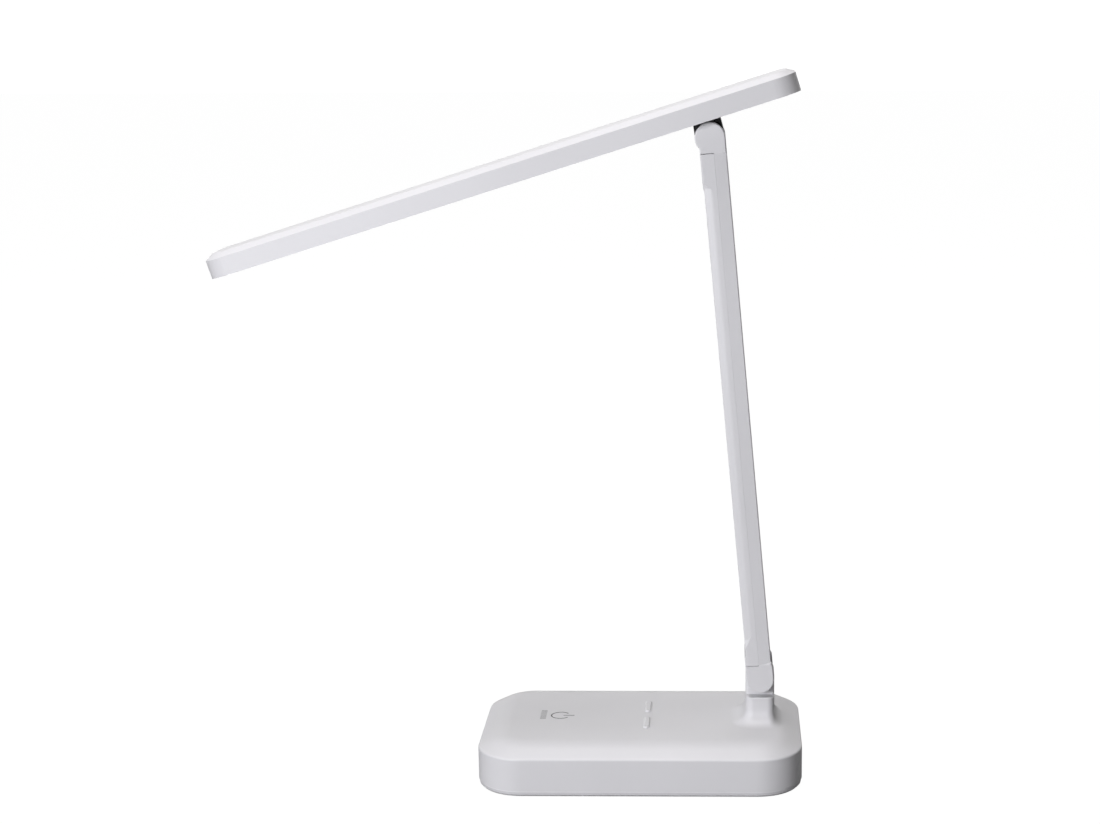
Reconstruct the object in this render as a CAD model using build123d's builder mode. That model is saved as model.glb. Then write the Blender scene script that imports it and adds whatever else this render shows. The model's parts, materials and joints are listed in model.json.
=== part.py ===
from build123d import *
import os
from math import atan, atan2, cos, degrees, radians, sin, sqrt, tan

# Folding desk lamp: a low moulded base with a post, a flat two-part arm and a
# slim head, joined by two fork-and-tongue friction hinges. Millimetres.
# +X runs along the base to the post, +Y to the rear and +Z up. The origin is
# the centre of the anti-slip pad's underside. The lamp stands half open.

# --- Base housing -----------------------------------------------------------
base_length = 130.0
base_depth = 80.0
base_corner = 18.2  # plan radius of the upright wall
base_wall = 15.5  # upright wall's top above the cover's underside
base_height = 20.0  # plateau above the cover's underside
slope_run = 8.6  # width of the sloping band round the plateau
plateau_blend = 14.0  # radius between band and plateau
wall_edge = 1.0  # radius between wall and band
shell_skin = 2.2
seam_gap = 0.15  # shadow line between shell and cover

# --- Base cover and pad -------------------------------------------------------
cover_plate = 2.2
cover_inset = 0.4
cover_edge = 0.8
spigot_height = 2.0
spigot_thickness = 1.2
fit_gap = 0.15  # all round, between moulded pieces that locate each other
pad_length = 96.0
pad_depth = 46.0
pad_corner = 12.0
pad_thickness = 1.2
pad_proud = 0.5  # how far the pad stands out of the cover

# --- Base fasteners -------------------------------------------------------------
boss_from_end = 15.0
boss_from_side = 13.0
boss_radius = 3.4
screw_radius = 1.3
screw_length = 9.0
screw_head_radius = 2.4
screw_head_height = 1.0
screw_recess = 1.2

# --- Rest ribs for the folded head --------------------------------------------
rib_x = 2.3
rib_width = 2.4
rib_length = 12.2
rib_spacing = 19.5  # from rib middle to rib middle
rib_height = 0.7
rib_edge = 0.6

# --- Post and its tongue --------------------------------------------------------
post_from_end = 16.6
post_width = 11.6
post_corner = 3.0
post_flare = 6.0  # radius where the post grows out of the plateau
shoulder_height = 11.0  # above the plateau
shoulder_edge = 0.6
lower_axis_height = 18.5  # above the plateau
tongue_edge = 1.0
wire_hole_radius = 1.2

# --- Arm ------------------------------------------------------------------------
arm_pitch = 219.1  # hinge axis to hinge axis
arm_lean = 5.24  # degrees to the left of upright
arm_thickness = 9.9
arm_width = 20.0
lower_knuckle = 5.5
upper_knuckle = 5.9
cheek = 4.5  # thickness of each fork cheek
cheek_edge = 0.5
heel_run = 9.4  # left-hand side of the lower end that is as thick as its knuckle
heel_run_right = 5.0
heel_ramp = 1.2
upper_heel_rise = 0.4  # how far the upper end stands proud of the left-hand face
upper_heel_run = 19.0
upper_heel_ramp = 2.2
facet_drop_left = 0.75  # how far the narrow side falls away at its edges
facet_drop_right = 0.4
facet_knee = 2.3  # width of the flat between the left facet and the parting line
knee_radius = 5.0
lower_runout = 13.4  # where the left facet starts at the arm's edge
lower_runout_slope = 1.85  # rise along the arm for each millimetre inwards
upper_runout = 17.3
upper_runout_slope = 0.9
runout_tilt = 28.0  # degrees between a run-out and the cheek
parting_gap = 0.03  # lengthwise seam
end_gap = 0.28  # cross seams
arm_skin = 1.7
arm_end_wall = 3.0
rail_height = 1.6
rail_thickness = 1.0
wire_radius = 0.7

# --- Hinge hardware ---------------------------------------------------------------
pin_radius = 2.0
thread_radius = 1.5
running_gap = 0.06
washer_radius = 4.4
washer_thickness = 0.3
pin_head_radius = 2.9
pin_head_height = 1.0
spring_thickness = 0.35
spring_rise = 0.25
plug_radius = 3.3
plug_thickness = 0.9
nut_across_flats = 5.5
nut_thickness = 2.4

# --- Head ---------------------------------------------------------------------------
head_length = 241.6
head_width = 32.0
head_height = 9.3
head_corner = 9.5
head_short_end = 38.8  # from the hinge axis to the right-hand end
head_tilt = 17.45  # degrees, long end down
head_drop = 6.6  # from the light face to the hinge axis
head_wall = 7.3  # upright side of the head
head_bevel = 3.2  # width of the band round its top
head_edge = 0.8
head_skin = 1.8
panel_thickness = 1.5
panel_ledge = 0.6
panel_gap = 0.1

# --- Head's hinge lug ---------------------------------------------------------------
lug_radius = 5.8
lug_left = 4.85  # root, from the axis towards the long end
lug_right = 6.1  # root, towards the short end
lug_gap = 0.4
lug_foot = 1.8
lug_foot_margin = 9.0
lug_foot_width = 18.0
lug_screw_offset = 5.2  # beyond each side of the lug's root
end_cover_margin = 17.0
tray_gap = 0.1

# --- Light source ----------------------------------------------------------------------
strip_width = 10.0
strip_thickness = 1.0
strip_end_gap = 6.0
chip_count = 30
chip_length = 3.5
chip_width = 2.8
chip_height = 0.7
tray_thickness = 0.5
tray_foot = 0.4

# --- Base electrics ---------------------------------------------------------------------
ballast_length = 70.0
ballast_from_boss = 2.6
ballast_thickness = 3.0
ballast_from_end = 7.5
ballast_corner = 4.0
battery_length = 60.0
battery_depth = 36.0
battery_height = 7.5
board_length = 36.0
board_depth = 30.0
board_thickness = 1.6
board_height = 3.5  # above the cover plate
board_from_wall = 1.0
standoff_radius = 2.2
standoff_inset = 3.2
board_screw_radius = 0.9
board_screw_length = 4.0
board_screw_head = 1.7
board_screw_head_height = 0.8
inductor_side = 6.0
inductor_corner = 1.2
inductor_height = 3.0
chip_side = 4.0
chip_rise = 0.9
plug_box = (4.5, 6.0, 4.0)  # battery connector
socket_width = 8.94
socket_height = 3.26
socket_length = 7.35
socket_skin = 0.3
socket_recess = 1.4  # mouth behind the wall's outer face
socket_window = 0.35  # gap all round in the wall
socket_back = 1.0
socket_blade_width = 6.69
socket_blade_thickness = 0.7
electrode_x = -33.7
electrode_radius = 7.0
electrode_thickness = 0.3

# --- Places that follow from the sizes ---------------------------------------------------
cover_z = pad_proud
seam_z = cover_z + cover_plate
shell_z = seam_z + seam_gap
wall_z = cover_z + base_wall
plateau_z = cover_z + base_height
ceiling_z = plateau_z - shell_skin
shoulder_z = plateau_z + shoulder_height
post_x = base_length / 2 - post_from_end
lower_axis_z = plateau_z + lower_axis_height
boss_x = base_length / 2 - boss_from_end
boss_y = base_depth / 2 - boss_from_side
ballast_depth = 2 * (boss_y - boss_radius - ballast_from_boss)

slot_half = arm_width / 2 - cheek
tongue_half = slot_half - washer_thickness - running_gap
cover_start = post_width / 2 + lug_gap
left_face = arm_thickness / 2
right_face = -arm_thickness / 2
upper_v = upper_knuckle + right_face
upper_u = sqrt(arm_pitch**2 - upper_v**2)
body_lean = arm_lean - degrees(atan2(upper_v, upper_u))

# Arm plane: x along the arm from the lower axis, y to the left, z to the front.
arm_plane = Plane(
    origin=(post_x, 0, lower_axis_z),
    x_dir=(-sin(radians(body_lean)), 0, cos(radians(body_lean))),
    z_dir=(0, -1, 0),
)
upper_axis = arm_plane.from_local_coords(Vector(upper_u, upper_v, 0))

# Head plane: x along the head to its short end, y out through its top.
along_head = Vector(cos(radians(head_tilt)), 0, sin(radians(head_tilt)))
head_plane = Plane(origin=upper_axis, x_dir=along_head, z_dir=(0, -1, 0))
head_middle = head_short_end - head_length / 2
light_face = Plane(
    origin=head_plane.from_local_coords(Vector(head_middle, head_drop, 0)),
    x_dir=along_head,
    z_dir=head_plane.y_dir,
)
hinge_planes = {
    "lower": arm_plane,
    "upper": Plane(origin=upper_axis, x_dir=arm_plane.x_dir, z_dir=arm_plane.z_dir),
}

os.makedirs("parts", exist_ok=True)


def crowned_block(plane, length, width, corner, wall, crown, run, skin=0.0):
    """Rounded block with an upright wall and a band that slopes in to its top.

    skin moves every outer face inwards square to itself, but not the floor.
    """
    slope = atan((crown - wall) / run)
    wall_top = wall - skin * tan((radians(90) - slope) / 2)
    crown_inset = run + skin * tan(slope / 2)
    with BuildPart() as block:
        with BuildSketch(plane):
            RectangleRounded(length - 2 * skin, width - 2 * skin, corner - skin)
        extrude(amount=wall_top)
        with BuildSketch(plane.offset(wall_top)):
            RectangleRounded(length - 2 * skin, width - 2 * skin, corner - skin)
        with BuildSketch(plane.offset(crown - skin)):
            RectangleRounded(
                length - 2 * crown_inset, width - 2 * crown_inset, corner - crown_inset
            )
        loft(ruled=True)
    return block.part


def base_block(floor, skin=0.0):
    """The base's outer form, or its cavity when skin is given."""
    return crowned_block(
        Plane.XY.offset(floor),
        base_length,
        base_depth,
        base_corner,
        wall_z - floor,
        plateau_z - floor,
        slope_run,
        skin,
    )


def head_block(skin=0.0):
    """The head's outer form, or its cavity when skin is given."""
    return crowned_block(
        light_face,
        head_length,
        head_width,
        head_corner,
        head_wall,
        head_height,
        head_bevel,
        skin,
    )


# --- Base shell with its post -----------------------------------------------------------
boss_places = [(x, y) for x in (-boss_x, boss_x) for y in (-boss_y, boss_y)]
board_z = seam_z + board_height
socket_z = board_z + board_thickness + socket_height / 2
end_wall = Plane.YZ.offset(base_length / 2)

# Round-topped tab that stands on the post between the arm's cheeks.
with BuildPart() as post_tongue:
    with BuildSketch(Plane.XZ.offset(-tongue_half)):
        with Locations((post_x, lower_axis_z)):
            Circle(post_width / 2)
            Rectangle(
                post_width,
                lower_axis_z - shoulder_z + 2 * shoulder_edge,
                align=(Align.CENTER, Align.MAX),
            )
    extrude(amount=2 * tongue_half)
    fillet(post_tongue.faces().filter_by(Axis.Y).edges(), tongue_edge)

with BuildPart() as base_shell:
    add(base_block(shell_z))
    fillet(base_shell.faces().sort_by(Axis.Z)[-1].edges(), plateau_blend)
    wall_edges = base_shell.edges().filter_by(
        lambda e: abs(e.bounding_box().min.Z - wall_z) + e.bounding_box().size.Z < 0.01
    )
    fillet(wall_edges, wall_edge)
    # The post grows out of the plateau through a concave flare.
    with BuildSketch(Plane.XY.offset(wall_z)):
        with Locations((post_x, 0)):
            RectangleRounded(post_width, arm_width, post_corner)
    extrude(amount=shoulder_z - wall_z)
    fillet(base_shell.edges(Select.NEW), post_flare)
    fillet(base_shell.faces().sort_by(Axis.Z)[-1].edges(), shoulder_edge)
    add(post_tongue.part)
    with BuildSketch(Plane.XZ):
        with Locations((post_x, lower_axis_z)):
            Circle(pin_radius + running_gap)
    extrude(amount=arm_width, both=True, mode=Mode.SUBTRACT)
    # Two rounded ribs on the plateau carry the folded head.
    with BuildSketch(Plane.XY.offset(plateau_z)):
        with Locations((rib_x, -rib_spacing / 2), (rib_x, rib_spacing / 2)):
            SlotOverall(rib_length, rib_width, rotation=90)
    extrude(amount=rib_height)
    fillet(
        base_shell.faces()
        .filter_by(lambda f: abs(f.center().Z - plateau_z - rib_height) < 0.01)
        .edges(),
        rib_edge,
    )
    # The cavity follows the outside, and the bosses hang from its ceiling.
    add(base_block(shell_z, shell_skin), mode=Mode.SUBTRACT)
    with BuildSketch(Plane.XY.offset(seam_z + fit_gap)):
        with Locations(*boss_places):
            Circle(boss_radius)
    extrude(amount=ceiling_z - seam_z)
    with BuildSketch(Plane.XY.offset(seam_z)):
        with Locations(*boss_places):
            Circle(screw_radius)
    extrude(amount=screw_length, mode=Mode.SUBTRACT)
    # Wires rise through the post beside the hinge pin.
    with BuildSketch(Plane.XY.offset(seam_z)):
        with Locations((post_x - (post_width / 2 + pin_radius) / 2, 0)):
            Circle(wire_hole_radius)
    extrude(amount=lower_axis_z + post_width, mode=Mode.SUBTRACT)
    # Window for the charging socket in the end wall behind the post.
    with BuildSketch(end_wall):
        with Locations((0, socket_z)):
            SlotOverall(socket_width + 2 * socket_window, socket_height + 2 * socket_window)
    extrude(amount=-2 * shell_skin, mode=Mode.SUBTRACT)
base_shell.part.label = "base_shell"
export_step(base_shell.part, "parts/base_shell.step")

# --- Base cover, pad and screws -----------------------------------------------------------
board_middle = base_length / 2 - shell_skin - board_from_wall - board_length / 2
ballast_middle = -base_length / 2 + shell_skin + ballast_from_end + ballast_length / 2
board_places = [
    (board_middle + x, y)
    for x in (-board_length / 2 + standoff_inset, board_length / 2 - standoff_inset)
    for y in (-board_depth / 2 + standoff_inset, board_depth / 2 - standoff_inset)
]
spigot_inset = shell_skin + fit_gap

with BuildPart() as base_cover:
    with BuildSketch(Plane.XY.offset(cover_z)):
        RectangleRounded(
            base_length - 2 * cover_inset, base_depth - 2 * cover_inset, base_corner - cover_inset
        )
    extrude(amount=cover_plate)
    chamfer(base_cover.faces().sort_by(Axis.Z)[0].edges(), cover_edge)
    # Spigot ring that locates inside the shell's wall.
    with BuildSketch(Plane.XY.offset(seam_z)):
        RectangleRounded(
            base_length - 2 * spigot_inset, base_depth - 2 * spigot_inset, base_corner - spigot_inset
        )
        offset(amount=-spigot_thickness, mode=Mode.SUBTRACT)
    extrude(amount=spigot_height)
    # Frame round the ballast plate.
    with BuildSketch(Plane.XY.offset(seam_z)):
        with Locations((ballast_middle, 0)):
            RectangleRounded(
                ballast_length + 2 * fit_gap + 2 * spigot_thickness,
                ballast_depth + 2 * fit_gap + 2 * spigot_thickness,
                ballast_corner + fit_gap + spigot_thickness,
            )
            RectangleRounded(
                ballast_length + 2 * fit_gap,
                ballast_depth + 2 * fit_gap,
                ballast_corner + fit_gap,
                mode=Mode.SUBTRACT,
            )
    extrude(amount=ballast_thickness)
    with BuildSketch(Plane.XY.offset(seam_z)):
        with Locations(*board_places):
            Circle(standoff_radius)
    extrude(amount=board_height)
    with BuildSketch(Plane.XY.offset(board_z)):
        with Locations(*board_places):
            Circle(board_screw_radius)
    extrude(amount=-board_height, mode=Mode.SUBTRACT)
    # Pad recess and screw recesses in the underside.
    with BuildSketch(Plane.XY.offset(pad_thickness)):
        RectangleRounded(pad_length + 2 * fit_gap, pad_depth + 2 * fit_gap, pad_corner + fit_gap)
    extrude(amount=-pad_thickness, mode=Mode.SUBTRACT)
    with Locations(Plane.XY.offset(cover_z).rotated((180, 0, 0))):
        with Locations(*boss_places):
            CounterBoreHole(
                radius=screw_radius + fit_gap,
                counter_bore_radius=screw_head_radius + fit_gap,
                counter_bore_depth=screw_recess,
                depth=cover_plate,
            )
base_cover.part.label = "base_cover"
export_step(base_cover.part, "parts/base_cover.step")

with BuildPart() as anti_slip_pad:
    with BuildSketch(Plane.XY):
        RectangleRounded(pad_length, pad_depth, pad_corner)
    extrude(amount=pad_thickness)
anti_slip_pad.part.label = "anti_slip_pad"
export_step(anti_slip_pad.part, "parts/anti_slip_pad.step")

with BuildPart() as base_screws:
    with BuildSketch(Plane.XY.offset(cover_z + screw_recess)):
        with Locations(*boss_places):
            Circle(screw_head_radius)
    extrude(amount=-screw_head_height)
    with BuildSketch(Plane.XY.offset(cover_z + screw_recess)):
        with Locations(*boss_places):
            Circle(screw_radius)
    extrude(amount=screw_length)
base_screws.part.label = "base_screws"
export_step(base_screws.part, "parts/base_screws.step")

# --- Inside the base ----------------------------------------------------------------------
with BuildPart() as ballast_plate:
    with BuildSketch(Plane.XY.offset(seam_z)):
        with Locations((ballast_middle, 0)):
            RectangleRounded(ballast_length, ballast_depth, ballast_corner)
    extrude(amount=ballast_thickness)
ballast_plate.part.label = "ballast_plate"
export_step(ballast_plate.part, "parts/ballast_plate.step")

with BuildPart() as battery_pack:
    with BuildSketch(Plane.XY.offset(seam_z + ballast_thickness)):
        with Locations((ballast_middle, 0)):
            RectangleRounded(battery_length, battery_depth, ballast_corner)
    extrude(amount=battery_height)
    chamfer(battery_pack.faces().sort_by(Axis.Z)[-1].edges(), battery_height / 5)
battery_pack.part.label = "battery_pack"
export_step(battery_pack.part, "parts/battery_pack.step")

with BuildPart() as control_board:
    with BuildSketch(Plane.XY.offset(board_z)):
        with Locations((board_middle, 0)):
            Rectangle(board_length, board_depth)
        with Locations(*board_places):
            Circle(board_screw_radius + fit_gap, mode=Mode.SUBTRACT)
    extrude(amount=board_thickness)
control_board.part.label = "control_board"
export_step(control_board.part, "parts/control_board.step")

board_top = Plane.XY.offset(board_z + board_thickness)
with BuildPart() as board_components:
    # Inductor, driver chip and battery connector, in that order.
    with BuildSketch(board_top):
        with Locations((board_middle - board_length / 6, -board_depth / 4)):
            RectangleRounded(inductor_side, inductor_side, inductor_corner)
    extrude(amount=inductor_height)
    with BuildSketch(board_top):
        with Locations((board_middle, board_depth / 6)):
            Rectangle(chip_side, chip_side)
    extrude(amount=chip_rise)
    with BuildSketch(board_top):
        with Locations((board_middle - board_length / 3, board_depth / 8)):
            Rectangle(plug_box[0], plug_box[1])
    extrude(amount=plug_box[2])
board_components.part.label = "board_components"
export_step(board_components.part, "parts/board_components.step")

with BuildPart() as board_screws:
    with BuildSketch(board_top):
        with Locations(*board_places):
            Circle(board_screw_head)
    extrude(amount=board_screw_head_height)
    with BuildSketch(board_top):
        with Locations(*board_places):
            Circle(board_screw_radius)
    extrude(amount=-board_screw_length)
board_screws.part.label = "board_screws"
export_step(board_screws.part, "parts/board_screws.step")

with BuildPart() as usb_socket:
    mouth = end_wall.offset(-socket_recess)
    with BuildSketch(mouth):
        with Locations((0, socket_z)):
            SlotOverall(socket_width, socket_height)
    extrude(amount=-socket_length)
    with BuildSketch(mouth):
        with Locations((0, socket_z)):
            SlotOverall(socket_width - 2 * socket_skin, socket_height - 2 * socket_skin)
    extrude(amount=-(socket_length - socket_back), mode=Mode.SUBTRACT)
    with BuildSketch(mouth.offset(-socket_back)):
        with Locations((0, socket_z)):
            Rectangle(socket_blade_width, socket_blade_thickness)
    extrude(amount=-(socket_length - 1.5 * socket_back))
usb_socket.part.label = "usb_socket"
export_step(usb_socket.part, "parts/usb_socket.step")

with BuildPart() as touch_electrode:
    with BuildSketch(Plane.XY.offset(ceiling_z)):
        with Locations((electrode_x, 0)):
            Circle(electrode_radius)
    extrude(amount=-electrode_thickness)
touch_electrode.part.label = "touch_electrode"
export_step(touch_electrode.part, "parts/touch_electrode.step")

# --- Arm ------------------------------------------------------------------------------------
half_width = arm_width / 2
cavity_half = half_width - facet_drop_left - arm_skin
cover_end = upper_u - cover_start
lower_slot_end = cover_start
upper_slot_end = upper_u - lug_right - lug_gap
wire_v = right_face / 2
wire_w = 2.2 * wire_radius
upper_heel_v = left_face + upper_heel_rise
upper_heel_end = upper_u - sqrt(upper_knuckle**2 - (upper_heel_v - upper_v) ** 2)
recess_depth = plug_thickness + pin_head_height + spring_rise + spring_thickness
arm_section = Plane(
    origin=arm_plane.origin, x_dir=arm_plane.y_dir, z_dir=arm_plane.x_dir
)  # x to the left, y to the front


def parting_box(start, end, edge_v):
    """Block over everything left of edge_v between two stations along the arm."""
    with BuildPart() as block:
        with BuildSketch(arm_plane):
            with Locations((start, edge_v)):
                Rectangle(end - start, arm_thickness, align=(Align.MIN, Align.MIN))
        extrude(amount=arm_width, both=True)
    return block.part


def runout(u, v, along, across):
    """Plane that rises out of a facet through the line (along, across) on the cheek."""
    line = Location((u, v, half_width), (0, 0, degrees(atan2(across, along))))
    return Plane(arm_plane.location * line * Location((0, 0, 0), (-runout_tilt, 0, 0)))


def narrow_side_space(face_v, lower_end, upper_end):
    """Space over one half of both narrow sides, between its two run-outs."""
    with BuildPart() as space:
        with BuildSketch(arm_section):
            with Locations((face_v, 0)):
                Rectangle(arm_thickness, arm_width, align=(Align.CENTER, Align.MIN))
        extrude(amount=upper_u)
        split(bisect_by=lower_end, keep=Keep.TOP)
        split(bisect_by=upper_end, keep=Keep.TOP)
        mirror(about=Plane.XZ)
    return space.part


with BuildPart() as arm_form:
    # Outline seen from the front: a round knuckle at each end.
    with BuildSketch(arm_plane):
        with BuildLine():
            Polyline(
                (0, -lower_knuckle),
                (heel_run_right, -lower_knuckle),
                (heel_run_right + heel_ramp, right_face),
                (upper_u, right_face),
            )
            ThreePointArc(
                (upper_u, right_face),
                (upper_u + upper_knuckle, upper_v),
                (upper_heel_end, upper_heel_v),
            )
            Polyline(
                (upper_heel_end, upper_heel_v),
                (upper_u - upper_heel_run, upper_heel_v),
                (upper_u - upper_heel_run - upper_heel_ramp, left_face),
                (heel_run + heel_ramp, left_face),
                (heel_run, lower_knuckle),
                (0, lower_knuckle),
            )
            ThreePointArc((0, lower_knuckle), (-lower_knuckle, 0), (0, -lower_knuckle))
        make_face()
    extrude(amount=half_width, both=True)
    fillet(arm_form.faces().filter_by(Axis.Y).edges(), cheek_edge)
    # Each half of a narrow side falls away between two run-outs.
    lower_left = runout(lower_runout, left_face, lower_runout_slope, -1)
    upper_left = runout(upper_u - upper_runout, left_face, upper_runout_slope, 1)
    add(narrow_side_space(left_face, lower_left, upper_left), mode=Mode.SUBTRACT)
    lower_right = runout(cover_start, right_face, 0, -1)
    upper_right = runout(cover_end, right_face, 0, 1)
    add(narrow_side_space(right_face, lower_right, upper_right), mode=Mode.SUBTRACT)
    with BuildSketch(arm_section.offset(cover_start)) as faceted_section:
        with BuildLine():
            Polyline(
                (0, 0),
                (0, half_width),
                (facet_knee, half_width),
                (left_face, half_width - facet_drop_left),
                (left_face, 0),
                close=True,
            )
        make_face()
        with BuildLine():
            Polyline(
                (0, 0),
                (0, half_width),
                (right_face, half_width - facet_drop_right),
                (right_face, 0),
                close=True,
            )
        make_face()
        mirror(about=Plane.XZ)
        fillet(
            faceted_section.vertices().filter_by(
                lambda v: abs(v.Y) > cavity_half and abs(v.X) > arm_thickness / 4
            ),
            cheek_edge,
        )
        fillet(
            faceted_section.vertices().filter_by(
                lambda v: abs(v.Y) > cavity_half and abs(v.X - facet_knee) < cheek_edge
            ),
            knee_radius,
        )
    extrude(amount=cover_end - cover_start)

    # Fork slots, open at both sides, and the pin's bores.
    with BuildSketch(arm_plane):
        with Locations((lower_slot_end, 0)):
            Rectangle(2 * arm_thickness, 2 * arm_thickness, align=(Align.MAX, Align.CENTER))
        with Locations((upper_slot_end, 0)):
            Rectangle(2 * arm_thickness, 2 * arm_thickness, align=(Align.MIN, Align.CENTER))
    extrude(amount=slot_half, both=True, mode=Mode.SUBTRACT)
    for hinge_plane in hinge_planes.values():
        with BuildSketch(hinge_plane.offset(-half_width)):
            Circle(plug_radius + running_gap)
        extrude(amount=recess_depth, mode=Mode.SUBTRACT)
        with BuildSketch(hinge_plane.offset(-half_width)):
            Circle(pin_radius + running_gap)
        extrude(amount=half_width, mode=Mode.SUBTRACT)
        with BuildSketch(hinge_plane.offset(slot_half)):
            RegularPolygon(nut_across_flats / 2 + running_gap, 6, major_radius=False)
        extrude(amount=nut_thickness + 2 * running_gap, mode=Mode.SUBTRACT)

with BuildPart() as arm_cavity:
    with BuildSketch(arm_section.offset(cover_start + arm_end_wall)):
        Rectangle(arm_thickness - 2 * arm_skin, 2 * cavity_half)
    extrude(amount=upper_slot_end - cover_start - 2 * arm_end_wall)

with BuildPart() as arm_shell:
    add(arm_form.part)
    add(arm_cavity.part, mode=Mode.SUBTRACT)
    add(
        parting_box(cover_start - end_gap, cover_end + end_gap, -parting_gap / 2),
        mode=Mode.SUBTRACT,
    )
    with BuildSketch(arm_section):
        with Locations((wire_v, -wire_w), (wire_v, wire_w)):
            Circle(wire_radius + fit_gap)
    extrude(amount=upper_u, mode=Mode.SUBTRACT)
arm_shell.part.label = "arm_shell"
export_step(arm_shell.part, "parts/arm_shell.step")

with BuildPart() as arm_cover:
    add(arm_form.part)
    add(parting_box(cover_start, cover_end, parting_gap / 2), mode=Mode.INTERSECT)
    add(arm_cavity.part, mode=Mode.SUBTRACT)
    # Two rails slip inside the shell's walls and keep the halves in line.
    with BuildSketch(arm_section.offset(cover_start + 2 * arm_end_wall)):
        with Locations((rail_height, cavity_half)):
            Rectangle(rail_height, rail_thickness + fit_gap, align=(Align.MAX, Align.MAX))
        with Locations((rail_height, cavity_half - fit_gap)):
            Rectangle(2 * rail_height, rail_thickness, align=(Align.MAX, Align.MAX))
        mirror(about=Plane.XZ)
    extrude(amount=upper_slot_end - cover_start - 4 * arm_end_wall)
arm_cover.part.label = "arm_cover"
export_step(arm_cover.part, "parts/arm_cover.step")

with BuildPart() as arm_wires:
    with BuildSketch(arm_section.offset(lower_slot_end)):
        with Locations((wire_v, -wire_w), (wire_v, wire_w)):
            Circle(wire_radius)
    extrude(amount=upper_slot_end - lower_slot_end)
arm_wires.part.label = "arm_wires"
export_step(arm_wires.part, "parts/arm_wires.step")

# --- Hinge hardware: one set at each end of the arm --------------------------------------------
for place, hinge_plane in hinge_planes.items():
    head_seat = hinge_plane.offset(-half_width + plug_thickness + pin_head_height)

    with BuildPart() as hinge_plug:
        with BuildSketch(hinge_plane.offset(-half_width)):
            Circle(plug_radius)
        extrude(amount=plug_thickness)
    hinge_plug.part.label = f"{place}_hinge_plug"
    export_step(hinge_plug.part, f"parts/{place}_hinge_plug.step")

    # Shouldered screw: head, plain pin through the tongue, thread into the nut.
    with BuildPart() as hinge_screw:
        with BuildSketch(head_seat):
            Circle(pin_head_radius)
        extrude(amount=-pin_head_height)
        with BuildSketch(head_seat):
            Circle(pin_radius)
        extrude(amount=half_width - plug_thickness - pin_head_height + slot_half)
        with BuildSketch(hinge_plane.offset(slot_half)):
            Circle(thread_radius)
        extrude(amount=nut_thickness)
    hinge_screw.part.label = f"{place}_hinge_screw"
    export_step(hinge_screw.part, f"parts/{place}_hinge_screw.step")

    # Dished washer that keeps the joint tight under the screw's head.
    with BuildPart() as spring_washer:
        with BuildSketch(
            Plane(origin=head_seat.origin, x_dir=head_seat.x_dir, z_dir=-head_seat.y_dir)
        ):
            with BuildLine():
                Polyline(
                    (pin_radius + running_gap, 0),
                    (pin_head_radius, spring_rise),
                    (pin_head_radius, spring_rise + spring_thickness),
                    (pin_radius + running_gap, spring_thickness),
                    close=True,
                )
            make_face()
        revolve(axis=Axis(head_seat.origin, head_seat.z_dir))
    spring_washer.part.label = f"{place}_spring_washer"
    export_step(spring_washer.part, f"parts/{place}_spring_washer.step")

    with BuildPart() as friction_washers:
        for side in (1, -1):
            with BuildSketch(hinge_plane.offset(side * slot_half)):
                Circle(washer_radius)
                Circle(pin_radius + running_gap, mode=Mode.SUBTRACT)
            extrude(amount=-side * washer_thickness)
    friction_washers.part.label = f"{place}_friction_washers"
    export_step(friction_washers.part, f"parts/{place}_friction_washers.step")

    with BuildPart() as hinge_nut:
        with BuildSketch(hinge_plane.offset(slot_half + running_gap)):
            RegularPolygon(nut_across_flats / 2, 6, major_radius=False)
            Circle(thread_radius + running_gap, mode=Mode.SUBTRACT)
        extrude(amount=nut_thickness)
    hinge_nut.part.label = f"{place}_hinge_nut"
    export_step(hinge_nut.part, f"parts/{place}_hinge_nut.step")

# --- Head's hinge lug -------------------------------------------------------------------------
lug_middle = (lug_right - lug_left) / 2
lug_length = lug_left + lug_right
lug_screw_places = [
    (lug_middle - head_middle + side * (lug_length / 2 + lug_screw_offset), 0) for side in (-1, 1)
]
foot_level = panel_thickness
boss_level = foot_level + lug_foot

with BuildPart() as hinge_lug:
    with BuildSketch(head_plane.offset(-tongue_half)) as lug_outline:
        Circle(lug_radius)
        with Locations((lug_middle, head_drop)):
            Rectangle(lug_length, panel_gap, align=(Align.CENTER, Align.MAX))
        make_hull(lug_outline.edges())
        with Locations((lug_middle, head_drop)):
            Rectangle(lug_length, foot_level, align=(Align.CENTER, Align.MIN))
    extrude(amount=2 * tongue_half)
    fillet(
        hinge_lug.faces().filter_by(Axis.Y).edges().filter_by(GeomType.CIRCLE),
        cheek_edge,
    )
    with BuildSketch(light_face.offset(foot_level)):
        with Locations((lug_middle - head_middle, 0)):
            RectangleRounded(lug_length + 2 * lug_foot_margin, lug_foot_width, lug_foot)
        with Locations(*lug_screw_places):
            Circle(screw_radius + fit_gap, mode=Mode.SUBTRACT)
    extrude(amount=lug_foot)
    with BuildSketch(head_plane):
        Circle(pin_radius + running_gap)
    extrude(amount=arm_width, both=True, mode=Mode.SUBTRACT)
hinge_lug.part.label = "hinge_lug"
export_step(hinge_lug.part, "parts/hinge_lug.step")

# --- Head housing and its underside -----------------------------------------------------------
panel_inset = head_skin - panel_ledge
joint_x = lug_middle - head_middle - lug_length / 2 - end_cover_margin

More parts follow.
